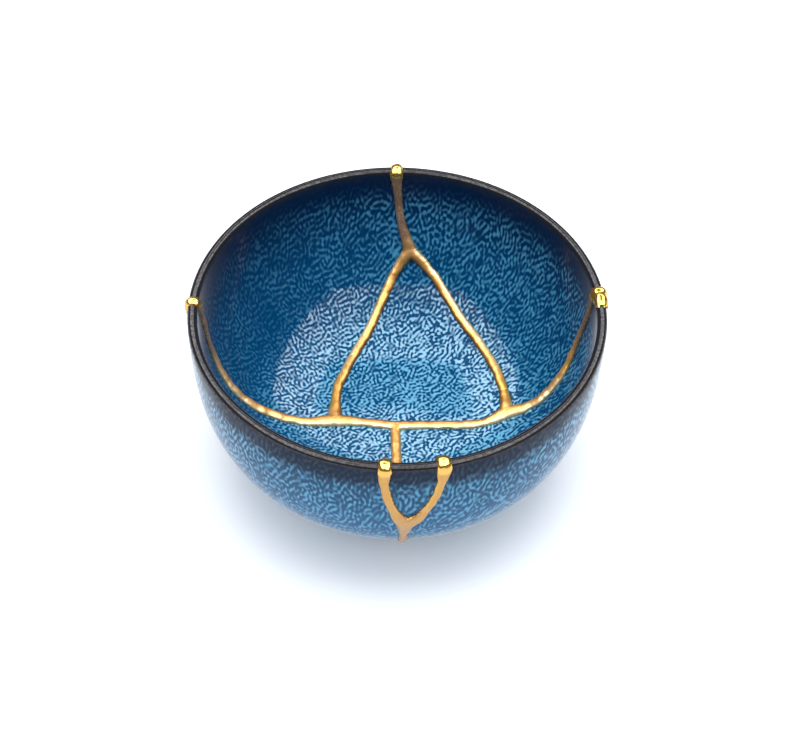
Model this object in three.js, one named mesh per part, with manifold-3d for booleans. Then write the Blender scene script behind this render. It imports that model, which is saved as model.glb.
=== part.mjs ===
// A small stoneware bowl that was broken and mended with lacquer and gold.
//
// Millimetres, +Z up. The origin is the centre of the foot's underside. -Y is the front,
// where a chip of the rim is mended with a V of gold, and azimuth 0 is +X.
//
// The bowl is turned as one solid. A crack is a thin sheet of rays that leave the centre of
// the rim, so the same line shows inside, over the lip and outside. The cracks cut the bowl
// into its sherds. The gold fills them and stands proud as a bead on both faces.

import * as THREE from "three";
import { mergeVertices } from "three/addons/utils/BufferGeometryUtils.js";
import Module from "manifold-3d";

const wasm = await Module();
wasm.setup();

// The pot.
const HEIGHT = 60;
const RIM_RADIUS = 57.5;
const LIP_THICKNESS = 2.8;
const LIP_RADIUS = LIP_THICKNESS / 2;
const RIM_LEVEL = HEIGHT - LIP_RADIUS;
const LIP_CENTRE = RIM_RADIUS - LIP_RADIUS;
const OUTER_FACE = { radius: RIM_RADIUS, depth: 55.5, power: 2.95 };
const INNER_FACE = { radius: RIM_RADIUS - LIP_THICKNESS, depth: 50.5, power: 2.8 };

// The turned foot ring.
const FOOT_TOP_DIP = 28;
const FOOT_OUTER = 26.4;
const FOOT_INNER = 23;
const FOOT_MIDDLE = (FOOT_INNER + FOOT_OUTER) / 2;
const FOOT_CHAMFER = 0.5;
const RECESS_LEVEL = 3;
const RECESS_FILLET = 1.2;

// How finely the pot is faceted.
const TURNS = 44;
const INNER_STEPS = 12;
const OUTER_STEPS = 9;
const LIP_STEPS = 4;

// The gold. A web of it fills each crack, and a bead stands on the web on both faces.
const WEB_THICKNESS = 1;
const GAP = 0.3;
const BEAD_WIDTH = 2.4;
const BEAD_HEIGHT = 0.65;
const BEAD_LIFT = 0.4;
const SWELL_REACH = 3.2;
const STATION_STEP = 5.4;
const FINE_PER_STEP = 4;
const SHOULDER = { across: 0.36, above: 0.7 };
const END_SIZE = 0.6;
const BURIED_HEIGHT = 0.25;
const OVERLIP_STEPS = 6;

// The gold in the foot ring, all but flush with it, and the cuts that part the sherds.
const SOLE_SHY = 0.15;
const FOOT_CLEARANCE = 1;
const FOOTING_THICKNESS = 0.8;
const FOOTING_HALF_WIDTH = 9;
const FOOTING_INWARD = 1;
const CUT_INWARD = 4;
const CUT_OUTWARD = 9;
const ABOVE_LIP_DIP = 96;
const UP = new THREE.Vector3(0, 0, 1);

// A place on the crack map is [azimuth, dip] in degrees. Dip is 0 at the centre of the floor
// and 90 at the rim. These are the places where three cracks meet.
const BACK_FORK = [86, 62];
const LEFT_FORK = [177, 20];
const RIGHT_FORK = [3, 36];
const CENTRE = [0, 0];
const FRONT_FORK = [-87, 67.5];

// Each crack runs from its first place to its last. swell is how much wider the bead grows at
// those two, as a share of its width.
const CRACKS = [
  // From the lip at the back down to the triangle.
  { swell: [0.2, 0.7],
    places: [BACK_FORK, [88.5, 69], [89.6, 74], [90.4, 80], [91, 90]] },
  // The triangle's two sides.
  { swell: [0.2, 0.35],
    places: [BACK_FORK, [90.5, 56], [96.5, 46.5], [106, 36.5], [115, 32], [127.5, 27.5],
      [140, 25], [154, 22], LEFT_FORK] },
  { swell: [0.2, 0.35],
    places: [BACK_FORK, [79, 57], [67.5, 48], [61, 44.5], [52.5, 42], [41.5, 39.5],
      [30, 38], [18.5, 36.7], RIGHT_FORK] },
  // The left half of the seam across the bowl.
  { swell: [0.3, 0.35],
    places: [LEFT_FORK, [182.7, 29], [183, 37], [182.5, 45], [181, 54.5], [178.5, 63.5],
      [177, 73.5], [177.3, 81], [180, 90]] },
  // The floor.
  { swell: [0.3, 0.1], places: [LEFT_FORK, [174, 10], CENTRE] },
  { swell: [0.1, 0.3],
    places: [CENTRE, [1.5, 14.5], [-1, 26], [0.2, 31], RIGHT_FORK] },
  // The right half of the seam across the bowl.
  { swell: [0.3, 0.6],
    places: [RIGHT_FORK, [2, 42], [2.7, 47], [4.5, 52], [6.5, 58], [9, 64], [9.9, 70],
      [9, 77], [8, 83], [6.5, 90]] },
  // From the floor's centre, under the front wall, to the foot of the V.
  { swell: [0.1, 0.65],
    places: [CENTRE, [-88, 6], [-88, 16], [-87.5, 30], [-87.2, 45], [-87.2, 58], FRONT_FORK] },
  // The V: the two sides of the chip.
  { swell: [0.65, 0.6],
    places: [FRONT_FORK, [-89.5, 72], [-91, 76.5], [-92, 81], [-92.7, 86], [-92.5, 90]] },
  { swell: [0.65, 0.7],
    places: [FRONT_FORK, [-84, 69.5], [-82, 72.6], [-80.3, 76.6], [-78.7, 81], [-77.7, 85.5],
      [-77.3, 90]] },
];
const RIM_DIP = 90;

// A flake lost from the lip beside the right-hand seam is filled with gold.
const FLAKE = { azimuth: 4, along: 5.8, across: 2.3, high: 2.5 };
const FLAKE_SIDES = [14, 8];

// A place inside each sherd, by which it is told from the others.
const SHERDS = {
  shard_back_left: [135, 60],
  shard_back_right: [45, 60],
  shard_triangle: [80, 45],
  shard_front_left: [225, 50],
  shard_front_right: [-45, 50],
  shard_rim_chip: [-86, 80],
};

const GLAZE = { color: 0x1d5580, roughness: 0.22, metalness: 0 };
const GOLD = { color: 0xd8a040, roughness: 0.34, metalness: 1 };

// ---- Solids ---------------------------------------------------------------------------

function solidFrom(geometry) {
  const bare = geometry.clone();
  bare.deleteAttribute("normal");
  bare.deleteAttribute("uv");
  const merged = mergeVertices(bare, 1e-4);
  const corners = merged.index.array;
  const triangles = [];
  for (let i = 0; i < corners.length; i += 3) {
    const [a, b, c] = corners.slice(i, i + 3);
    if (a !== b && b !== c && c !== a) triangles.push(a, b, c);
  }
  return new wasm.Manifold(new wasm.Mesh({
    numProp: 3,
    vertProperties: new Float32Array(merged.attributes.position.array),
    triVerts: new Uint32Array(triangles),
  }));
}

function geometryFrom(solid) {
  const { vertProperties, triVerts } = solid.getMesh();
  const geometry = new THREE.BufferGeometry();
  geometry.setAttribute("position", new THREE.BufferAttribute(vertProperties, 3));
  geometry.setIndex(new THREE.BufferAttribute(triVerts, 1));
  geometry.computeVertexNormals();
  return geometry;
}

function joined(solids) {
  return solids.reduce((sum, solid) => sum.add(solid));
}

// A closed bar through a row of rings, which all have the same number of points. caps lists
// the convex polygons, by the places of their corners in a ring, that close its two ends.
function loft(rings, caps) {
  const sides = rings[0].length;
  const indices = [];
  for (let ring = 0; ring + 1 < rings.length; ring += 1) {
    for (let side = 0; side < sides; side += 1) {
      const a = ring * sides + side;
      const b = ring * sides + (side + 1) % sides;
      indices.push(a, a + sides, b, b, a + sides, b + sides);
    }
  }
  const last = (rings.length - 1) * sides;
  for (const cap of caps) {
    for (let i = 1; i + 1 < cap.length; i += 1) {
      indices.push(cap[0], cap[i], cap[i + 1]);
      indices.push(last + cap[0], last + cap[i + 1], last + cap[i]);
    }
  }
  const geometry = new THREE.BufferGeometry().setFromPoints(rings.flat());
  geometry.setIndex(indices);
  return solidFrom(geometry);
}

// ---- The pot --------------------------------------------------------------------------

// Both faces of the wall belong to one family, (r / radius)^power + (drop / depth)^power = 1,
// and hang from the centre of the rim. A ray from there runs this far to such a face.
function reach(face, direction) {
  const across = Math.hypot(direction.x, direction.y) / face.radius;
  const down = Math.abs(direction.z) / face.depth;
  return (across ** face.power + down ** face.power) ** (-1 / face.power);
}

function rayTo([azimuth, dip]) {
  const turn = THREE.MathUtils.degToRad(azimuth);
  const lean = THREE.MathUtils.degToRad(dip);
  const flat = Math.sin(lean);
  return new THREE.Vector3(flat * Math.cos(turn), flat * Math.sin(turn), -Math.cos(lean));
}

function fromRim(direction, distance) {
  return direction.clone().multiplyScalar(distance).add(new THREE.Vector3(0, 0, RIM_LEVEL));
}

function grown(face, extra) {
  return { ...face, radius: face.radius + extra, depth: face.depth + extra };
}

function profilePoint(face, dip) {
  const direction = rayTo([0, dip]);
  const point = fromRim(direction, reach(face, direction));
  return new THREE.Vector2(point.x, point.z);
}

// Half of the pot's section, from the centre of its underside, over the lip, to the centre
// of its floor. A positive extra makes it stouter on every face but the sole it stands on.
function potProfile(extra, sole) {
  const outer = grown(OUTER_FACE, extra);
  const inner = grown(INNER_FACE, -extra);
  const recess = RECESS_LEVEL - extra;
  const points = [
    new THREE.Vector2(0, recess),
    new THREE.Vector2(FOOT_INNER - RECESS_FILLET - extra, recess),
    new THREE.Vector2(FOOT_INNER - extra, recess - RECESS_FILLET),
    new THREE.Vector2(FOOT_INNER + FOOT_CHAMFER - extra, sole),
    new THREE.Vector2(FOOT_OUTER - FOOT_CHAMFER + extra, sole),
    new THREE.Vector2(FOOT_OUTER + extra, FOOT_CHAMFER + sole),
  ];
  for (let i = 0; i <= OUTER_STEPS; i += 1) {
    points.push(profilePoint(outer, THREE.MathUtils.lerp(FOOT_TOP_DIP, RIM_DIP, i / OUTER_STEPS)));
  }
  for (let i = 1; i < LIP_STEPS; i += 1) {
    const angle = Math.PI * i / LIP_STEPS;
    const radius = LIP_CENTRE + (LIP_RADIUS + extra) * Math.cos(angle);
    points.push(new THREE.Vector2(radius, RIM_LEVEL + (LIP_RADIUS + extra) * Math.sin(angle)));
  }
  for (let i = INNER_STEPS; i > 0; i -= 1) {
    points.push(profilePoint(inner, RIM_DIP * i / INNER_STEPS));
  }
  points.push(new THREE.Vector2(0, RIM_LEVEL - inner.depth));
  return points;
}

function pot(extra = 0, sole = 0) {
  const geometry = new THREE.LatheGeometry(potProfile(extra, sole), TURNS);
  geometry.rotateX(Math.PI / 2);
  return solidFrom(geometry);
}

// ---- The cracks -----------------------------------------------------------------------

function endsAtRim(crack) {
  return crack.places.at(-1)[1] === RIM_DIP;
}

// Unit rays along a crack, a few to each step between stations.
function fineRays(crack) {
  const curve = new THREE.CatmullRomCurve3(crack.places.map(rayTo));
  const steps = Math.ceil(curve.getLength() * RIM_RADIUS / STATION_STEP);
  return curve.getSpacedPoints(steps * FINE_PER_STEP).map((point) => point.normalize());
}

function onStep(i) {
  return i % FINE_PER_STEP === 0;
}

function tangentAt(points, i) {
  const before = points[Math.max(i - 1, 0)];
  const after = points[Math.min(i + 1, points.length - 1)];
  return after.clone().sub(before).normalize();
}

// A sheet in a crack, from inwards of the near face to outwards of the far one.
function sheet(rays, thickness, near, far) {
  const rings = rays.map((ray, i) => {
    const side = tangentAt(rays, i).cross(ray).setLength(thickness / 2);
    const begin = fromRim(ray, near(ray));
    const end = fromRim(ray, far(ray));
    return [
      end.clone().add(side),
      end.clone().sub(side),
      begin.clone().sub(side),
      begin.clone().add(side),
    ];
  });
  return loft(rings, [[0, 1, 2, 3]]);
}

// The cut that parts the sherds goes well past both faces of the wall. It runs on past a
// fork by half its thickness, and up past the rim.
function cut(crack) {
  const rays = fineRays(crack).filter((ray, i) => onStep(i));
  const thickness = WEB_THICKNESS + 2 * GAP;
  const onward = (i, way) => {
    const share = way * thickness / 2 / RIM_RADIUS;
    return rays[i].clone().addScaledVector(tangentAt(rays, i), share).normalize();
  };
  const first = onward(0, -1);
  const aboveRim = rayTo([crack.places.at(-1)[0], ABOVE_LIP_DIP]);
  const last = endsAtRim(crack) ? aboveRim : onward(rays.length - 1, 1);
  const near = (ray) => reach(INNER_FACE, ray) - CUT_INWARD;
  const far = (ray) => reach(OUTER_FACE, ray) + CUT_OUTWARD;
  return sheet([first, ...rays, last], thickness, near, far);
}

// ---- The gold -------------------------------------------------------------------------

// A station is a point on the pot's surface with the normal that points out of the clay.
function wallStation(face, ray, outwards) {
  const point = fromRim(ray, reach(face, ray));
  const radius = Math.hypot(point.x, point.y);
  const drop = Math.max(RIM_LEVEL - point.z, 0);
  const slope = (radius / face.radius) ** (face.power - 1) / face.radius;
  const fall = (drop / face.depth) ** (face.power - 1) / face.depth;
  const azimuth = Math.atan2(ray.y, ray.x);
  const normal = new THREE.Vector3(slope * Math.cos(azimuth), slope * Math.sin(azimuth), -fall);
  return { point, normal: normal.normalize().multiplyScalar(outwards ? 1 : -1) };
}

// Outside, a ray meets the belly or the recess under the floor. Where it runs through the
// foot ring its station is buried in the ring, and has no bead.
function outsideStation(ray) {
  const belly = wallStation(OUTER_FACE, ray, true);
  const recess = {
    point: fromRim(ray, (RIM_LEVEL - RECESS_LEVEL) / -ray.z),
    normal: new THREE.Vector3(0, 0, -1),
  };
  const footTop = profilePoint(OUTER_FACE, FOOT_TOP_DIP).x;
  if (Math.hypot(belly.point.x, belly.point.y) > footTop + FOOT_CLEARANCE) return belly;
  const radius = Math.hypot(recess.point.x, recess.point.y);
  if (radius < FOOT_INNER - RECESS_FILLET - FOOT_CLEARANCE) return recess;
  return { ...(radius < FOOT_MIDDLE ? recess : belly), buried: true };
}

// A station on the lip's round, where 0 degrees is outside, 90 on top and 180 inside.
function lipStation(azimuth, around) {
  const turn = THREE.MathUtils.degToRad(azimuth);
  const angle = THREE.MathUtils.degToRad(around);
  const radial = new THREE.Vector3(Math.cos(turn), Math.sin(turn), 0);
  const normal = radial.clone().multiplyScalar(Math.cos(angle)).setZ(Math.sin(angle));
  const centre = radial.multiplyScalar(LIP_CENTRE).setZ(RIM_LEVEL);
  return { point: centre.addScaledVector(normal, LIP_RADIUS), normal };
}

// How much wider than usual the gold is at a point. swells lists places and shares.
function sizeAt(point, swells) {
  const wider = swells.map(([place, share]) => {
    const away = point.distanceTo(place) / SWELL_REACH;
    return share * Math.exp(-away * away);
  });
  return 1 + Math.max(...wider);
}

// A bead's section across its run, from one edge of the web round to the other: a flat base
// just off the clay, and a round back.
function beadSection(station, tangent, size) {
  const width = station.buried ? WEB_THICKNESS : BEAD_WIDTH * size;
  const height = station.buried ? BURIED_HEIGHT : BEAD_HEIGHT * (2 + size) / 3;
  const side = station.normal.clone().cross(tangent).normalize();
  const across = [WEB_THICKNESS / 2, width / 2, width * SHOULDER.across, 0];
  const above = [0, 0, height * SHOULDER.above, height];
  const place = (i, way) => station.point.clone()
    .addScaledVector(side, way * across[i])
    .addScaledVector(station.normal, BEAD_LIFT + above[i]);
  return [place(0, -1), place(1, -1), place(2, -1), place(3, 0), place(2, 1), place(1, 1), place(0, 1)];
}
const BEAD_CAP = [3, 4, 5, 6, 0, 1, 2];

// The beads on both faces with the web between them, as one bar.
function seam(crack) {
  const stations = fineRays(crack).map((ray) => ({
    inside: wallStation(INNER_FACE, ray, false),
    outside: outsideStation(ray),
  }));
  const buried = (i) => Boolean(stations[i]?.outside.buried);
  const kept = stations.filter((station, i) => {
    return onStep(i) || buried(i) !== buried(i - 1) || buried(i) !== buried(i + 1);
  });
  const swells = swellsOf(crack);
  const sections = (size) => kept.map((station, i) => ["inside", "outside"].flatMap((face) => {
    const points = kept.map((other) => other[face].point);
    const atRim = endsAtRim(crack) && i === kept.length - 1;
    const tangent = atRim ? UP : tangentAt(points, i);
    return beadSection(station[face], tangent, size * sizeAt(station[face].point, swells));
  }));
  const rings = sections(1);
  const ends = sections(END_SIZE);
  const middles = kept.map(({ inside, outside }) => inside.point.clone().lerp(outside.point, 0.5));
  const endRing = (i, way) => {
    const shift = tangentAt(middles, i).multiplyScalar(way * WEB_THICKNESS / 2);
    return ends[i].map((point) => point.add(shift));
  };
  rings.unshift(endRing(0, -1));
  if (!endsAtRim(crack)) rings.push(endRing(kept.length - 1, 1));
  return loft(rings, [BEAD_CAP, BEAD_CAP.map((corner) => corner + 7), [0, 6, 7, 13]]);
}

// The bead that goes over the lip, with its share of the web.
function overLip(crack) {
  const azimuth = crack.places.at(-1)[0];
  const sideways = new THREE.Vector3().crossVectors(UP, rayTo(crack.places.at(-1))).normalize();
  const swells = swellsOf(crack);
  const rings = Array.from({ length: OVERLIP_STEPS + 1 }, (_, i) => {
    const station = lipStation(azimuth, 180 * (1 - i / OVERLIP_STEPS));
    const tangent = sideways.clone().cross(station.normal);
    const section = beadSection(station, tangent, sizeAt(station.point, swells));
    const toCentre = station.normal.clone().multiplyScalar(-LIP_RADIUS - BEAD_LIFT);
    return [...section, section[6].clone().add(toCentre), section[0].clone().add(toCentre)];
  });
  return loft(rings, [BEAD_CAP, [0, 6, 7, 8]]);
}

function swellsOf(crack) {
  const ends = [crack.places[0], crack.places.at(-1)];
  return ends.flatMap((place, i) => [INNER_FACE, OUTER_FACE].map((face) => {
    return [wallStation(face, rayTo(place), true).point, crack.swell[i]];
  }));
}

// Where a crack passes through the foot ring the gold goes down to the sole.
function footing(crack) {
  const rays = fineRays(crack).filter((ray, i) => {
    const radius = Math.hypot(ray.x, ray.y) * reach(OUTER_FACE, ray);
    return onStep(i) && Math.abs(radius - FOOT_MIDDLE) < FOOTING_HALF_WIDTH;
  });
  if (rays.length < 2) return [];
  const near = (ray) => reach(OUTER_FACE, ray) - FOOTING_INWARD;
  const far = (ray) => reach(OUTER_FACE, ray) + CUT_OUTWARD;
  return [sheet(rays, FOOTING_THICKNESS, near, far)];
}

// The gold that fills the lost flake, wrapped over the lip.
function flakeFill() {
  const geometry = new THREE.SphereGeometry(1, ...FLAKE_SIDES);
  geometry.scale(FLAKE.across, FLAKE.along, FLAKE.high);
  geometry.translate(LIP_CENTRE, 0, RIM_LEVEL);
  geometry.rotateZ(THREE.MathUtils.degToRad(FLAKE.azimuth));
  return solidFrom(geometry).subtract(pot(GAP));
}

// ---- The pieces -----------------------------------------------------------------------

function goldSeams() {
  const footings = joined(CRACKS.flatMap(footing)).intersect(pot(GAP, SOLE_SHY));
  const overRim = CRACKS.filter(endsAtRim).map(overLip);
  return joined([...CRACKS.map(seam), ...overRim, footings, flakeFill()]);
}

function sherds() {
  return pot().subtract(joined(CRACKS.map(cut))).decompose();
}

function distanceFrom(solid, target) {
  const { vertProperties } = solid.getMesh();
  const vertex = new THREE.Vector3();
  let nearest = Infinity;
  for (let i = 0; i < vertProperties.length; i += 3) {
    nearest = Math.min(nearest, vertex.fromArray(vertProperties, i).distanceTo(target));
  }
  return nearest;
}

function sherdAt(pieces, place) {
  const target = wallStation(OUTER_FACE, rayTo(place), true).point;
  const distances = pieces.map((piece) => distanceFrom(piece, target));
  return pieces[distances.indexOf(Math.min(...distances))];
}

function mesh(name, solid, look) {
  const made = new THREE.Mesh(geometryFrom(solid), new THREE.MeshStandardMaterial(look));
  made.name = name;
  return made;
}

const bowl = new THREE.Group();
const pieces = sherds();
for (const [name, place] of Object.entries(SHERDS)) {
  bowl.add(mesh(name, sherdAt(pieces, place), GLAZE));
}
bowl.add(mesh("gold_seams", goldSeams(), GOLD));

export default bowl;
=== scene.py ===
# %% [markdown]
# # A mended bowl
# The real thing is a small stoneware bowl that broke into six sherds. Somebody put it
# together again with lacquer paste and dusted the seams with gold. The CAD model says where
# every sherd and every seam is. This lesson gives them a fine shape, a glaze and a gold skin.
# The CAD is loaded first and never moved, so that nothing has to be fitted to it by eye.

# %% Load the frame
from math import cos, pi, radians, sin

import bpy
from mathutils import Matrix, Vector
from mathutils.bvhtree import BVHTree


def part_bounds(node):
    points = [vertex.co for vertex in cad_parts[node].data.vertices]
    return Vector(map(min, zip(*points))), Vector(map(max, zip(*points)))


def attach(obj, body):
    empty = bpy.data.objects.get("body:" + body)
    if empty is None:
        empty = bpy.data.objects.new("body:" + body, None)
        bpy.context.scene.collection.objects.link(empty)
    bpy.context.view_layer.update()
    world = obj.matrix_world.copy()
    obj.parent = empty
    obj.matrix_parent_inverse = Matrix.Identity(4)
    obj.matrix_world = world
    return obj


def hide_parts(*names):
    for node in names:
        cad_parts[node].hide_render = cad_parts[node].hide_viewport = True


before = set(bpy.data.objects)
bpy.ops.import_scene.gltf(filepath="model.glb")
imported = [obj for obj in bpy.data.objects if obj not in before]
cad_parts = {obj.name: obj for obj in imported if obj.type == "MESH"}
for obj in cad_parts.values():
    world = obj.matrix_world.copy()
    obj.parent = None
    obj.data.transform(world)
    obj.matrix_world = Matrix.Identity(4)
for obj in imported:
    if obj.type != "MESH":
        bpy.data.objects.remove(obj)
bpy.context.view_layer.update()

# %% [markdown]
# ## Sizes
# Blender works in metres, and a millimetre reads better, so lengths are written as
# multiples of MM. The height and the rim come from the CAD's own boxes. The curves of the
# two faces are the ones that the potter's rib would follow: each is a rounded square, the
# same family inside and outside, hung from the centre of the rim. A third one runs half way
# through the wall, and tells the inside from the outside.

# %% Sizes
MM = 0.001
SHERDS = sorted(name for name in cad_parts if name.startswith("shard_"))
HEIGHT = max(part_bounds(name)[1].z for name in SHERDS)
RIM_RADIUS = max(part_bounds(name)[1].x for name in SHERDS)
LIP_RADIUS = 1.4 * MM
RIM_LEVEL = HEIGHT - LIP_RADIUS
OUTER_FACE = {"radius": RIM_RADIUS, "depth": 55.5 * MM, "power": 2.95}
INNER_FACE = {"radius": RIM_RADIUS - 2 * LIP_RADIUS, "depth": 50.5 * MM, "power": 2.8}
MIDDLE_WALL = {"radius": RIM_RADIUS - LIP_RADIUS, "depth": 53 * MM, "power": 2.87}
print(f"height {HEIGHT / MM:.1f} mm, rim radius {RIM_RADIUS / MM:.1f} mm")


def face_point(face, dip):
    """A point (radius, height) on a face, where dip is 0 under the rim's centre and 90 at it."""
    across, down = sin(radians(dip)), cos(radians(dip))
    power = face["power"]
    reach = ((across / face["radius"]) ** power + (down / face["depth"]) ** power) ** (-1 / power)
    return across * reach, RIM_LEVEL - down * reach


# %% [markdown]
# ## Small helpers
# Blender's operators act on whatever is selected, so each step starts by choosing one
# object and nothing else. A modifier is applied at once, because a finished piece carries
# its shape in its own mesh.

# %% Helpers for choosing and finishing
SAME_POINT = 0.0001 * MM


def choose(*things):
    if bpy.context.object and bpy.context.object.mode != "OBJECT":
        bpy.ops.object.mode_set(mode="OBJECT")
    bpy.ops.object.select_all(action="DESELECT")
    for thing in things:
        thing.hide_set(False)
        thing.select_set(True)
    bpy.context.view_layer.objects.active = things[0]


def edit(thing):
    choose(thing)
    bpy.ops.object.mode_set(mode="EDIT")
    bpy.ops.mesh.select_all(action="SELECT")


def apply_modifier(thing, kind, **settings):
    choose(thing)
    modifier = thing.modifiers.new(kind.title(), kind)
    for name, value in settings.items():
        setattr(modifier, name, value)
    bpy.ops.object.modifier_apply(modifier=modifier.name)


def loose_parts(thing):
    """Breaks a mesh into the parts that nothing joins, each an object of its own."""
    edit(thing)
    bpy.ops.mesh.separate(type="LOOSE")
    bpy.ops.object.mode_set(mode="OBJECT")
    return list(bpy.context.selected_objects)


def copy_of_node(node, name):
    """A merged copy of a CAD node, to be reshaped while the node itself stays as it is."""
    choose(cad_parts[node])
    bpy.ops.object.duplicate()
    copy = bpy.context.object
    copy.name = copy.data.name = name
    copy.parent = None
    for key in list(copy.keys()):
        del copy[key]
    edit(copy)
    bpy.ops.mesh.remove_doubles(threshold=SAME_POINT)
    bpy.ops.object.mode_set(mode="OBJECT")
    return copy


def report(thing):
    faces = sum(len(p.vertices) - 2 for p in thing.data.polygons)
    print(f"{thing.name}: {faces} triangles")


# %% [markdown]
# ## Throwing the pot
# A bowl is thrown on a wheel, so half of its section is all that has to be drawn. The line
# starts under the floor, goes out to the foot ring, up the belly, over the lip and back
# down to the centre of the floor. Blender could take the line from a curve, but walking it
# with Extrude shows each stretch: one vertex, then one push per point. Spin turns it.

# %% Draw the half section
FLOOR_LEVEL = RIM_LEVEL - INNER_FACE["depth"]
FOOT_TOP_DIP = 28
BELLY_STEPS, LIP_STEPS, BOWL_STEPS = 48, 12, 64
# The foot is small enough to be drawn point by point, and its sizes are in plain millimetres.
GLAZE_LINE = 3.4
GLAZE_ROLL = 0.22


def foot_section():
    """The recess, the ring that is trimmed by hand, and the roll where the glaze stopped."""
    recess = [(radius, 3) for radius in (0, 3, 6, 9, 12, 15, 18, 20.5, 21.4)]
    inner_side = [(22.1, 2.86), (22.6, 2.5), (22.85, 2), (22.95, 1.3), (23.05, 0.6), (23.25, 0.2)]
    sole = [(23.6, 0), (24.7, 0), (25.8, 0)]
    outer_side = [(26.15, 0.16), (26.4, 0.5), (26.45, 1.3), (26.5, 2.2), (26.6, 3)]
    glaze_edge = [(26.85 + GLAZE_ROLL, GLAZE_LINE), (26.95 + GLAZE_ROLL, 3.8),
                  (27.15 + GLAZE_ROLL, 4.3), (27.6, 4.9)]
    stretches = recess + inner_side + sole + outer_side + glaze_edge
    return [(radius * MM, level * MM) for radius, level in stretches]


def half_section():
    points = foot_section()
    for i in range(BELLY_STEPS + 1):
        points.append(face_point(OUTER_FACE, FOOT_TOP_DIP + i * (90 - FOOT_TOP_DIP) / BELLY_STEPS))
    lip_centre = RIM_RADIUS - LIP_RADIUS
    for i in range(1, LIP_STEPS):
        angle = pi * i / LIP_STEPS
        points.append((lip_centre + LIP_RADIUS * cos(angle), RIM_LEVEL + LIP_RADIUS * sin(angle)))
    for i in range(BOWL_STEPS):
        points.append(face_point(INNER_FACE, 90 - i * 90 / BOWL_STEPS))
    return points + [(0, FLOOR_LEVEL)]


section = half_section()
print(len(section), "points in the half section")

# %% [markdown]
# The line becomes a mesh edge by edge. Spin leaves a seam where it closes and a bunch of
# points on the axis, so what lies together is merged before the normals are turned out.

# %% Walk the line and spin it
TURNS = 288
SEAM_WELD = 0.005 * MM

bpy.ops.object.select_all(action="DESELECT")
bpy.ops.mesh.primitive_plane_add(size=MM, location=(section[0][0], 0, section[0][1]))
blank = bpy.context.object
blank.name = "blank"
bpy.ops.object.mode_set(mode="EDIT")
bpy.ops.mesh.merge(type="CENTER")
for here, there in zip(section, section[1:]):
    step = (there[0] - here[0], 0, there[1] - here[1])
    bpy.ops.mesh.extrude_region_move(TRANSFORM_OT_translate={"value": step})
bpy.ops.mesh.select_all(action="SELECT")
bpy.ops.mesh.spin(steps=TURNS, angle=2 * pi, center=(0, 0, 0), axis=(0, 0, 1), use_auto_merge=True)
bpy.ops.mesh.select_all(action="SELECT")
bpy.ops.mesh.remove_doubles(threshold=SEAM_WELD)
bpy.ops.mesh.normals_make_consistent(inside=False)
bpy.ops.object.mode_set(mode="OBJECT")
bpy.ops.object.transform_apply(location=True, rotation=True, scale=True)
report(blank)

# %% [markdown]
# ## Breaking it
# The CAD's gold fills every crack from face to face, so a copy of it is the tool that
# breaks the fine pot: a Boolean takes it away, and what is left falls into six loose parts.
# Where the gold comes to the sole it stops a hair short of the table. The copy is pulled
# down through the sole first, or a paper-thin skin of clay would hold the sherds together.
# Each part takes the name and the place of the CAD sherd whose box it fills.

# %% Cut the sherds
SOLE_SKIN = 0.4 * MM
cutter = copy_of_node("gold_seams", "cutter")
for vertex in cutter.data.vertices:
    if vertex.co.z < SOLE_SKIN:
        vertex.co.z = -SOLE_SKIN
choose(blank)
bpy.ops.object.duplicate()
pot = bpy.context.object
pot.name = "pot"
apply_modifier(pot, "BOOLEAN", operation="DIFFERENCE", solver="MANIFOLD", object=cutter)
bpy.data.objects.remove(cutter)
parts = loose_parts(pot)
print("the pot fell into", len(parts), "parts")


def middle(corners):
    return (Vector(corners[0]) + Vector(corners[1])) / 2


def part_box(part):
    spots = [vertex.co for vertex in part.data.vertices]
    return [[pick(spot[axis] for spot in spots) for axis in range(3)] for pick in (min, max)]


sherds = []
for node in SHERDS:
    target = middle(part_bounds(node))
    part = min(parts, key=lambda p: (middle(part_box(p)) - target).length)
    part.name = part.data.name = node + "_fine"
    sherds.append(part)
    report(part)
assert len(parts) == len(set(sherds)) == len(SHERDS)

# %% [markdown]
# ## Laying the gold
# A raised seam is built up in layers of lacquer paste with a brush, so it is a low round
# bead that swells where the brush paused, at the forks and at the lip. The CAD's bead is a
# faceted bar that hangs a hair above the clay. Here its base is pressed down into the
# glaze, a voxel Remesh turns the bar into an even skin, Smooth melts its corners, and two
# soft noises push it about like a brush. Sculpting would do it too, but not twice alike.

# %% Press the bead down on the glaze
# The CAD's bead begins BEAD_BASE above the glaze. It is moved down to begin at BEAD_ROOT,
# and stretched by BEAD_RISE. Where it is nearly level with the clay, between the two FLUSH
# heights, it ends up FLUSH_HEIGHT above it.
BEAD_BASE = 0.4 * MM
BEAD_ROOT = -0.16 * MM
BEAD_RISE = 1.42
FLUSH = (0.2 * MM, 0.36 * MM)
FLUSH_HEIGHT = 0.05 * MM

gold = copy_of_node("gold_seams", "gold_seams_fine")
clay = BVHTree.FromObject(blank, bpy.context.evaluated_depsgraph_get())
pressed = 0
for vertex in gold.data.vertices:
    spot, normal, _, height = clay.find_nearest(vertex.co)
    out = (vertex.co - spot).normalized()
    if out.dot(normal) < 0:
        continue
    if height > FLUSH[1]:
        vertex.co = spot + out * (BEAD_ROOT + (height - BEAD_BASE) * BEAD_RISE)
        pressed += 1
    elif height > FLUSH[0]:
        vertex.co = spot + out * FLUSH_HEIGHT
        pressed += 1
print(pressed, "of", len(gold.data.vertices), "points pressed down")

# %% [markdown]
# Remesh leaves a few crumbs where the bar was thinner than a voxel. The largest loose part
# is the whole network of seams, and only that is kept.

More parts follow.
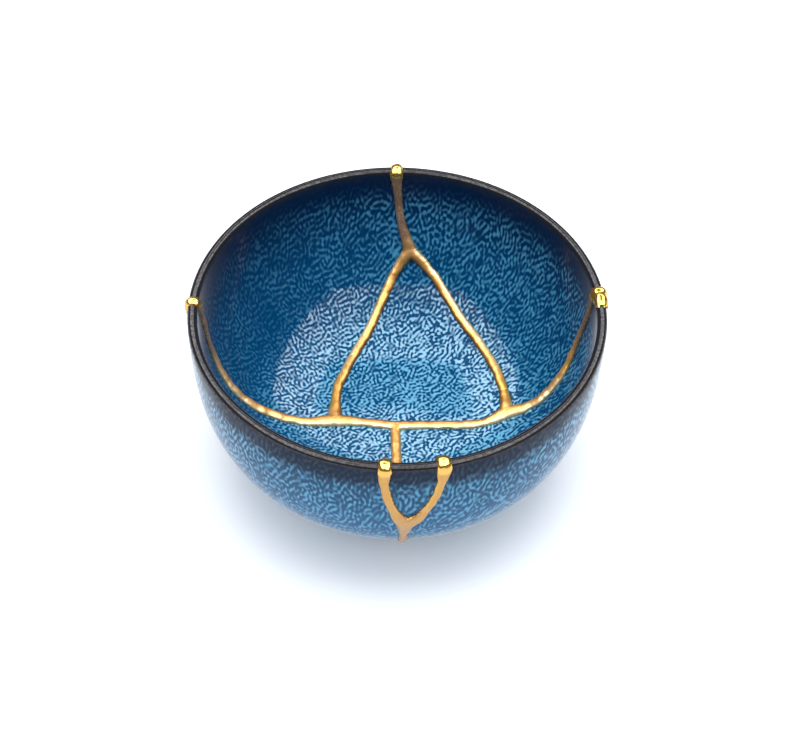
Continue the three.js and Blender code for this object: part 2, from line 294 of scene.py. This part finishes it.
# %% Melt it
BEAD_VOXEL = 0.35 * MM
apply_modifier(gold, "REMESH", mode="VOXEL", voxel_size=BEAD_VOXEL, adaptivity=0)
apply_modifier(gold, "SMOOTH", factor=0.5, iterations=8)
*crumbs, gold = sorted(loose_parts(gold), key=lambda part: len(part.data.vertices))
for crumb in crumbs:
    crumb.data.name = "crumb"
    bpy.data.objects.remove(crumb)
gold.name = gold.data.name = "gold_seams_fine"
print(len(crumbs), "crumbs swept away")

# %% [markdown]
# The brush was fuller inside the bowl than on the belly, and it left most at the forks,
# where three seams meet. A fork is named by its face, its azimuth and its dip. Each point is
# pushed along its normal by a length that depends on its place, which no modifier does as
# directly as a loop. A last Smooth joins the pushes into one skin.

# %% Swell and brush it
SWELL_INSIDE = 0.60 * MM
SWELL_OUTSIDE = 0.28 * MM
SWELL_FROM, SWELL_TO = 24 * MM, 44 * MM
FORKS = [(INNER_FACE, 86, 62), (INNER_FACE, 177, 20), (INNER_FACE, 3, 36), (OUTER_FACE, -87, 67.5)]
FORK_REACH = 8 * MM
FORK_SWELL = 0.5 * MM
# Each noise has a name, the size of its blobs and how far it pushes.
BRUSHWORK = [("brush_pauses", 3.2 * MM, 0.45 * MM), ("brush_hairs", 1.1 * MM, 0.16 * MM)]


def is_outside(spot):
    out = Vector((spot.x, spot.y)).length / MIDDLE_WALL["radius"]
    down = max(RIM_LEVEL - spot.z, 0) / MIDDLE_WALL["depth"]
    return out ** MIDDLE_WALL["power"] + down ** MIDDLE_WALL["power"] > 1


def fork_place(face, azimuth, dip):
    across, level = face_point(face, dip)
    return Vector((across * cos(radians(azimuth)), across * sin(radians(azimuth)), level))


forks = [fork_place(*fork) for fork in FORKS]


def swell(spot):
    nearness = max(1 - ((spot - fork).length / FORK_REACH) ** 2 for fork in forks)
    height = min(max((spot.z - SWELL_FROM) / (SWELL_TO - SWELL_FROM), 0), 1)
    inside = SWELL_INSIDE + (SWELL_OUTSIDE - SWELL_INSIDE) * height
    return (SWELL_OUTSIDE if is_outside(spot) else inside) + FORK_SWELL * max(nearness, 0)


pushes = [vertex.normal * swell(vertex.co) for vertex in gold.data.vertices]
for vertex, way in zip(gold.data.vertices, pushes):
    vertex.co += way
for name, size, strength in BRUSHWORK:
    texture = bpy.data.textures.new(name, "CLOUDS")
    texture.noise_scale = size
    texture.noise_depth = 1
    apply_modifier(gold, "DISPLACE", texture=texture, strength=strength, mid_level=0.5,
                   texture_coords="LOCAL", direction="NORMAL")
apply_modifier(gold, "SMOOTH", factor=0.4, iterations=3)
print("the longest push was", round(max(way.length for way in pushes) / MM, 2), "mm")

# %% [markdown]
# The seams are rubbed flush with the sole, and nothing may leave the space of the CAD's gold.
# Two facts about each point are kept with the mesh, for the finish to read. One is how
# proud of the glaze it stands, in mm. The other is whether it faces away from the triangle's
# middle or towards it: the finish paints a highlight on the outer side and shade on the inner.

# %% Trim it, and note how it lies
TRIANGLE_MIDDLE = Vector((0, 22 * MM, 10 * MM))
low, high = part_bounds("gold_seams")
for vertex in gold.data.vertices:
    vertex.co = [min(max(at, least), most) for at, least, most in zip(vertex.co, low, high)]


def along(direction, normal):
    """The part of a direction that lies along the glaze."""
    return direction - normal * direction.dot(normal)


crowns, leans = [], []
for vertex in gold.data.vertices:
    _, normal, _, distance = clay.find_nearest(vertex.co)
    away = along(vertex.co - TRIANGLE_MIDDLE, normal).normalized()
    crowns.append(distance / MM)
    leans.append(along(vertex.normal, normal).dot(away))
for name, values in {"crown": crowns, "lean": leans}.items():
    gold.data.attributes.new(name, "FLOAT", "POINT").data.foreach_set("value", values)
bpy.data.objects.remove(blank)
print("half of its points are more than", round(sorted(crowns)[len(crowns) // 2], 2), "mm off the glaze")
report(gold)

# %% [markdown]
# ## Shading
# Round forms shade smoothly, and the broken edges stay crisp, so each sherd is smoothed by
# angle. The gold has no edge and is smooth all over. Every fine piece then rides on the
# bowl's one body and takes the place of its CAD node.

# %% Shade and place
CRISP = radians(38)
for piece in sherds:
    choose(piece)
    bpy.ops.object.shade_smooth_by_angle(angle=CRISP)
choose(gold)
bpy.ops.object.shade_smooth()

for piece, node in [*zip(sherds, SHERDS), (gold, "gold_seams")]:
    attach(piece, "root")
    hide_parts(node)
print(len(sherds) + 1, "pieces in place")

# %% [markdown]
# ## A little algebra for finishes
# A finish is a network of nodes, and arithmetic drawn as nodes is hard to read. The class
# below wraps a node's output, so that an expression such as 1 - mask * 2 adds the Math
# nodes by itself. Every other node comes from one method.

# %% Wrap the shader's sockets
class Value:
    def __init__(self, finish, socket):
        self.finish, self.socket = finish, socket

    def math(self, operation, *others, first=None):
        inputs = [self, *others] if first is None else [first, self]
        return self.finish.node("ShaderNodeMath", {"operation": operation}, dict(enumerate(inputs)))

    def __add__(self, other): return self.math("ADD", other)
    def __radd__(self, other): return self.math("ADD", other)
    def __sub__(self, other): return self.math("SUBTRACT", other)
    def __rsub__(self, other): return self.math("SUBTRACT", first=other)
    def __mul__(self, other): return self.math("MULTIPLY", other)
    def __rmul__(self, other): return self.math("MULTIPLY", other)
    def __truediv__(self, other): return self.math("DIVIDE", other)
    def __pow__(self, other): return self.math("POWER", other)

    def rise(self, low, high):
        """0 below low, 1 above high, and a soft step between. With high < low it falls."""
        settings = {"interpolation_type": "SMOOTHSTEP"}
        if high < low:
            inputs = {"Value": self, "From Min": high, "From Max": low, "To Min": 1.0, "To Max": 0.0}
        else:
            inputs = {"Value": self, "From Min": low, "From Max": high}
        return self.finish.node("ShaderNodeMapRange", settings, inputs)


class Finish:
    def __init__(self, name):
        self.material = bpy.data.materials.new(name)
        self.material.use_nodes = True
        self.tree = self.material.node_tree
        self.shader = self.tree.nodes["Principled BSDF"]

    def fill(self, node, inputs):
        for key, value in inputs.items():
            socket = node.inputs[key]
            if isinstance(value, Value):
                self.tree.links.new(value.socket, socket)
            else:
                socket.default_value = value

    def node(self, kind, settings=None, inputs=None, output=0):
        node = self.tree.nodes.new(kind)
        for name, value in (settings or {}).items():
            setattr(node, name, value)
        self.fill(node, inputs or {})
        return Value(self, node.outputs[output])

    def mix(self, share, first, second):
        """Two colours mixed by a share, as (red, green, blue) or as another node's colour."""
        first, second = [c if isinstance(c, Value) else (*c, 1) for c in (first, second)]
        inputs = {0: share, 6: first, 7: second}
        return self.node("ShaderNodeMix", {"data_type": "RGBA", "clamp_factor": True}, inputs, 2)

    def coats(self, colour, *layers):
        """A colour under other colours, each given as its share and itself."""
        for share, layer in layers:
            colour = self.mix(share, colour, layer)
        return colour

    def noise(self, place, per_mm, detail=0.0):
        inputs = {"Vector": place, "Scale": per_mm / MM, "Detail": detail}
        return self.node("ShaderNodeTexNoise", {}, inputs)

    def bump(self, height, strength, distance):
        inputs = {"Strength": strength, "Distance": distance, "Height": height}
        return self.node("ShaderNodeBump", {}, inputs)

    def wear(self, *pieces, **sockets):
        """Plugs values and links into the shader itself, and dresses the pieces in it."""
        self.fill(self.shader, {name.replace("_", " "): v for name, v in sockets.items()})
        for piece in pieces:
            piece.data.materials.clear()
            piece.data.materials.append(self.material)
        print(self.material.name, "has", len(self.tree.nodes), "nodes")


def bearings(finish):
    """Where a point is: its place, x, y and radius, its height in mm, and if it is outside."""
    place = finish.node("ShaderNodeTexCoord", output="Object")
    x, y, z = [finish.node("ShaderNodeSeparateXYZ", {}, {0: place}, axis) for axis in range(3)]
    flat = finish.node("ShaderNodeVectorMath", {"operation": "MULTIPLY"}, {0: place, 1: (1, 1, 0)})
    radius = finish.node("ShaderNodeVectorMath", {"operation": "LENGTH"}, {0: flat}, "Value")
    below_rim = (RIM_LEVEL - z).math("MAXIMUM", 0.0)
    through = ((radius / MIDDLE_WALL["radius"]) ** MIDDLE_WALL["power"]
               + (below_rim / MIDDLE_WALL["depth"]) ** MIDDLE_WALL["power"])
    return place, x, y, radius, z / MM, through.rise(0.985, 1.015)


# %% [markdown]
# ## The glaze
# This is a rutile blue glaze: a dark glassy blue full of fine pale streaks. On the steep
# wall the glass ran down while it was molten and drew the streaks out, and on the floor it
# lay still, pooled and went milky. At the lip it ran thin and the dark body shows through.
# All this is colour worked out from the place of a point. A Gabor texture is a crowd of
# little waves, and it draws the winding streaks. It is turned off the axes, and squeezed
# along Z, so that it stretches on the wall and not on the floor. A painted texture would
# give each streak by name, but it would need a seamless unwrapping of every sherd.

# %% Draw the streaks and colour them
DEEP = (0.0002, 0.010, 0.040)
BLUE = (0.0006, 0.046, 0.130)
POOL = (0.002, 0.062, 0.165)
STREAK = (0.060, 0.270, 0.450)
OUTER_STREAK = (0.040, 0.260, 0.450)
MILK = (0.155, 0.440, 0.650)
# Heights in mm, where something starts to show and where it shows in full.
POOL_SHOWS = (21, 11)
BLUE_SHOWS = (58, 30)
SIDE_LIGHT_SHOWS = (56, 44)
STREAKS_SHOW = (57, 48)
# The streaks grow paler towards the right and the back: painted light, with painted shade on the left.
SHADED_LEFT_EDGE, LIT_RIGHT_EDGE = -34 * MM, 24 * MM
STREAK_SQUEEZE = (1, 1, 0.5)
STREAK_TURN = (0.6, 0.5, 0.9)
STREAKS_PER_MM = 0.37
CLOUDS_PER_MM = 0.13

glaze = Finish("blue_glaze_fine")
place, x, y, radius, height, outside = bearings(glaze)
inside = 1 - outside
streaked = glaze.node("ShaderNodeMapping", {"vector_type": "POINT"},
                      {"Vector": place, "Scale": STREAK_SQUEEZE, "Rotation": STREAK_TURN})
worms = glaze.node("ShaderNodeTexGabor", {"gabor_type": "3D"},
                   {"Vector": streaked, "Scale": STREAKS_PER_MM / MM, "Frequency": 2.4,
                    "Anisotropy": 0.0})
cloud = glaze.noise(streaked, CLOUDS_PER_MM, detail=1.0).rise(0.25, 0.75)
pool = (height + (cloud - 0.5) * 4).rise(*POOL_SHOWS) * inside
wall = height.rise(*BLUE_SHOWS)
# Painted light: the streaks are paler towards the right and the back, and the left is left in painted
# shade.
painted_light_right_back = (x * 0.9 + y * 0.35).rise(SHADED_LEFT_EDGE, LIT_RIGHT_EDGE) * height.rise(*SIDE_LIGHT_SHOWS)
pattern = (worms + (cloud - 0.5) * 0.05 + pool * 0.02 - 0.03).rise(0.40, 0.66)
ground = glaze.coats(DEEP, (wall, BLUE), (pool, POOL))
streak = glaze.coats(STREAK, (outside, OUTER_STREAK), (pool, MILK))
# The 0.60 share carries the painted light on the right and the back.
share = pattern * (0.10 + 0.60 * painted_light_right_back + wall * (0.10 + 0.16 * cloud) + pool * 0.5)
share = share * height.rise(*STREAKS_SHOW) * inside
share = share + outside * (0.10 + 0.70 * pattern)
body = glaze.mix(share, ground, streak)
print("the glaze's streaks took", len(glaze.tree.nodes), "nodes")

# %% [markdown]
# The glaze is slate-dark along the lip. Outside, the dark band reaches further down at the
# front, and that extra depth is painted shade. The lip itself is bare of blue, and the foot is
# bare clay. How glassy a point is goes with the streaks: they mirror the room, and the ground
# between them hardly does. A little sheen gives the pale edge that a satin glaze has where it turns away
# from the eye.

# %% Lip, foot and gloss
SLATE = (0.005, 0.014, 0.034)
RIM_BROWN = (0.012, 0.011, 0.014)
CLAY = (0.115, 0.068, 0.045)
SLATE_OUTSIDE = (54.5, 59.5)
SLATE_INSIDE = (55, 58.5)
BARE_LIP = (58.3, 59)
BARE_FOOT = (GLAZE_LINE - 0.05, GLAZE_LINE - 0.25)
RECESS_EDGE = (21.5, 22.5)
GLASSY = (38, 20)
FRONT_SHADE_REACH = -50 * MM

waver = (glaze.noise(place, 0.12, detail=2.0) - 0.5) * 6
# Painted shade: towards the front the slate band under the lip reaches further down.
front = y.rise(0, FRONT_SHADE_REACH)
under_lip = (height + waver * 0.5 + front * 4.5).rise(*SLATE_OUTSIDE) * outside
inner_edge = (height + waver * 0.5).rise(*SLATE_INSIDE)
lip = (height + waver * 0.15).rise(*BARE_LIP)
bare = (height + waver * 0.05).rise(*BARE_FOOT) * (radius / MM).rise(*RECESS_EDGE)
body = glaze.coats(body, (under_lip * 0.95, SLATE), (inner_edge * 0.85, SLATE),
                   (lip, RIM_BROWN), (bare, CLAY))

mottle = glaze.noise(place, 1.3, detail=1.0).rise(0.35, 0.65)
glass = 0.05 + pattern * (0.22 + 0.85 * height.rise(*GLASSY))
glass = glass * inside + outside * (0.36 + 0.42 * pattern)
glass = glass * (1 - under_lip * 0.45) * (1 - lip) + lip * (0.35 + 0.4 * mottle)
ripple = glaze.bump(glaze.noise(streaked, 1.1), 0.2, 0.05 * MM)
glaze.wear(*sherds, Base_Color=body, Roughness=0.3 + bare * 0.5 + cloud * 0.05, Normal=ripple,
           Specular_IOR_Level=0.0, Coat_Weight=glass * (1 - bare), Coat_Roughness=0.11,
           Coat_IOR=1.5, Sheen_Weight=0.5, Sheen_Roughness=0.25)

# %% [markdown]
# ## The gold
# Gold powder on lacquer is metal with a soft shine. The crown of the bead is rubbed down to
# warm amber, and its edges and the lip keep bright gold. A cream highlight is painted on the
# side that faces away from the triangle's middle, and brown shade is painted on the side that
# faces it. At the feet of the triangle's sides the paste is orange. Up the wall the powder has
# gone and streaky lacquer is left, and down the belly it is dull and clay-coloured. Each of
# these is a share of another colour, laid over the gold from first to last.

# %% Mix the gold
GOLD = (0.90, 0.60, 0.230)
AMBER = (0.57, 0.245, 0.045)
LIP_GOLD = (0.70, 0.41, 0.100)
SHADY_GOLD = (0.46, 0.25, 0.055)
# The colour of the painted highlight on the outer side of the seams.
HIGHLIGHT_CREAM = (0.98, 0.83, 0.54)
ORANGE = (0.74, 0.36, 0.050)
LACQUER = (0.105, 0.058, 0.038)
PALE_LACQUER = (0.34, 0.21, 0.150)
# The colour of the painted shade on the side of the seams that faces the triangle's middle.
SHADE_UMBER = (0.17, 0.068, 0.024)
CLAY_GOLD = (0.39, 0.235, 0.130)
# Heights in mm, as for the glaze.
WORN_BELOW = (58.5, 56.5)
LIP = (57.2, 58.8)
SHADED = (59, 57)
SIDE_PAINT_BELOW = (58, 56)
UP_THE_WALL, WALL_END = (30, 44), (59.4, 57.6)
DOWN_THE_BELLY = (50, 36)
# From front to back, the feet of the triangle's sides lie between these two.
CROSS_SEAM_EDGE, ARM_FOOT = (3 * MM, 6 * MM), (24 * MM, 10 * MM)

gilding = Finish("gold_lacquer_fine")
place, _, y, _, height, outside = bearings(gilding)
inside = 1 - outside
proud = gilding.node("ShaderNodeAttribute", {"attribute_name": "crown"}, output="Fac")
lean = gilding.node("ShaderNodeAttribute", {"attribute_name": "lean"}, output="Fac")
cloud = gilding.noise(place, 0.16, detail=2.0)
grain = gilding.noise(place, 2.2, detail=2.0)
worn = (proud + cloud * 0.8 - 0.4).rise(0.35, 0.90) * height.rise(*WORN_BELOW)
# Painted highlight on the side facing away from the triangle's middle, painted shade on the side facing
# it.
side = lean + (cloud - 0.5) * 0.6
in_the_bowl = inside * height.rise(*SIDE_PAINT_BELOW)
painted_highlight_side = side.rise(0.05, 0.60) * in_the_bowl
painted_shade_side = side.rise(-0.05, -0.60) * in_the_bowl
arm_foot = y.rise(*CROSS_SEAM_EDGE) * y.rise(*ARM_FOOT) * inside
up_the_wall = (height + cloud * 6).rise(*UP_THE_WALL) * height.rise(*WALL_END) * inside
down_the_belly = (height + cloud * 8).rise(*DOWN_THE_BELLY) * outside
streaky = (grain * 0.7 + cloud * 0.5 - proud * 0.1).rise(0.46, 0.68)
bare_lacquer = gilding.mix(streaky, LACQUER, PALE_LACQUER)
gold_colour = gilding.coats(
    GOLD, (worn * 0.85, AMBER), (height.rise(*LIP), LIP_GOLD),
    (outside * height.rise(*SHADED) * 0.8, SHADY_GOLD), (painted_highlight_side * (1 - arm_foot) * 0.55, HIGHLIGHT_CREAM),
    (arm_foot * (0.3 + 0.5 * cloud), ORANGE), (up_the_wall * 0.85, bare_lacquer),
    (painted_shade_side * 0.8, SHADE_UMBER), (down_the_belly * 0.8, CLAY_GOLD))
dull = up_the_wall * (1 - painted_highlight_side * 0.5) * 0.55 + down_the_belly * 0.3
gilding.wear(gold, Base_Color=gold_colour, Roughness=0.20 + worn * 0.18 + dull * 0.2,
             Metallic=0.9 - worn * 0.35 - dull * 0.6, Normal=gilding.bump(grain, 0.22, 0.04 * MM))

# %% [markdown]
# ## The studio
# The bowl stands on a wide pale table under a soft, even light. The table is paper, so it
# is rough and nearly white, and it only shows where the bowl keeps the light off it.

# %% Table
TABLE_SIZE = 4.0
PAPER = (0.93, 0.935, 0.945, 1)

bpy.ops.object.select_all(action="DESELECT")
bpy.ops.mesh.primitive_plane_add(size=TABLE_SIZE, location=(0, 0, 0))
table = bpy.context.object
table.name = "table"
paper = Finish("pale_table")
paper.wear(table, Base_Color=PAPER, Roughness=0.9, Specular_IOR_Level=0.1)

# %% [markdown]
# One soft lamp lights the bowl from above. The other panels make a tent round it that only
# shiny things mirror. Behind the lamp the tent has a gap, and the glass is darker there. A
# flat lamp shines along its own -Z, so a lamp that isn't turned shines down.

# %% Lights
TENT_LEVEL = 0.9
TENT_GLOW = 16.5
# Each panel has its left, right, near and far edges and its share of the glow.
TENT = {"overhead": (-0.30, 0.34, -0.25, 0.25, 1), "left": (-1.10, -0.30, -1.20, 1.00, 1.3),
        "right": (0.34, 1.10, -1.20, 1.00, 1.3), "front": (-0.30, 0.34, -1.20, -0.25, 0.8),
        "back": (-0.30, 0.34, 0.70, 1.00, 1.1)}
for name, (left, right, near, far, share) in TENT.items():
    light = bpy.data.lights.new(name, "AREA")
    light.shape = "RECTANGLE"
    light.size, light.size_y = right - left, far - near
    light.energy = TENT_GLOW * share * (right - left) * (far - near)
    lamp = bpy.data.objects.new(name, light)
    lamp.location = ((left + right) / 2, (near + far) / 2, TENT_LEVEL)
    lamp.visible_camera = False
    lamp.visible_diffuse = name == "overhead"
    bpy.context.scene.collection.objects.link(lamp)
    print(f"{name}: {light.energy:.1f} W")

# %% [markdown]
# The camera sees plain white round the table. Surfaces get a soft light from all round, and
# shiny ones mirror a room that is darker than the tent. So the world is three skies, and a
# ray chooses one of them by what it is for.

# %% Sky
SKY = {"Is Camera Ray": ((1, 1, 1, 1), 1.0), "Is Diffuse Ray": ((0.92, 0.96, 1, 1), 1.3),
       "every other ray": ((0.8, 0.9, 1, 1), 0.06)}
world = bpy.data.worlds.new("studio")
bpy.context.scene.world = world
world.use_nodes = True
nodes, links = world.node_tree.nodes, world.node_tree.links
rays = nodes.new("ShaderNodeLightPath")
lit = None
for ray, (colour, strength) in reversed(SKY.items()):
    glow = nodes.new("ShaderNodeBackground")
    glow.inputs["Color"].default_value = colour
    glow.inputs["Strength"].default_value = strength
    if lit is None:
        lit = glow
        continue
    either = nodes.new("ShaderNodeMixShader")
    links.new(rays.outputs[ray], either.inputs[0])
    links.new(lit.outputs[0], either.inputs[1])
    links.new(glow.outputs[0], either.inputs[2])
    lit = either
links.new(lit.outputs[0], nodes["World Output"].inputs[0])
bpy.context.scene.view_settings.view_transform = "Standard"
print(len(SKY), "skies")

# %% [markdown]
# The camera looks down into the bowl from the front, through a long lens. It is placed by
# its distance and elevation, and then pitched a little more than that and rolled a degree.

# %% Camera
CAMERA_DISTANCE = 0.46
CAMERA_ELEVATION = radians(45.98)
CAMERA_PITCH = radians(48.03)
CAMERA_ROLL = radians(1.0)
CAMERA_ASIDE = 0.16 * MM
CAMERA_AIM_LEVEL = 0.059
LENS = 75.97

camera_data = bpy.data.cameras.new("camera")
camera_data.lens = LENS
camera = bpy.data.objects.new("camera", camera_data)
bpy.context.scene.collection.objects.link(camera)
stand = Vector((CAMERA_ASIDE, -CAMERA_DISTANCE * cos(CAMERA_ELEVATION),
                CAMERA_AIM_LEVEL + CAMERA_DISTANCE * sin(CAMERA_ELEVATION)))
camera.matrix_world = (Matrix.Translation(stand) @ Matrix.Rotation(pi / 2 - CAMERA_PITCH, 4, "X")
                       @ Matrix.Rotation(CAMERA_ROLL, 4, "Z"))
bpy.context.scene.camera = camera
print("camera at", [round(x, 3) for x in stand])
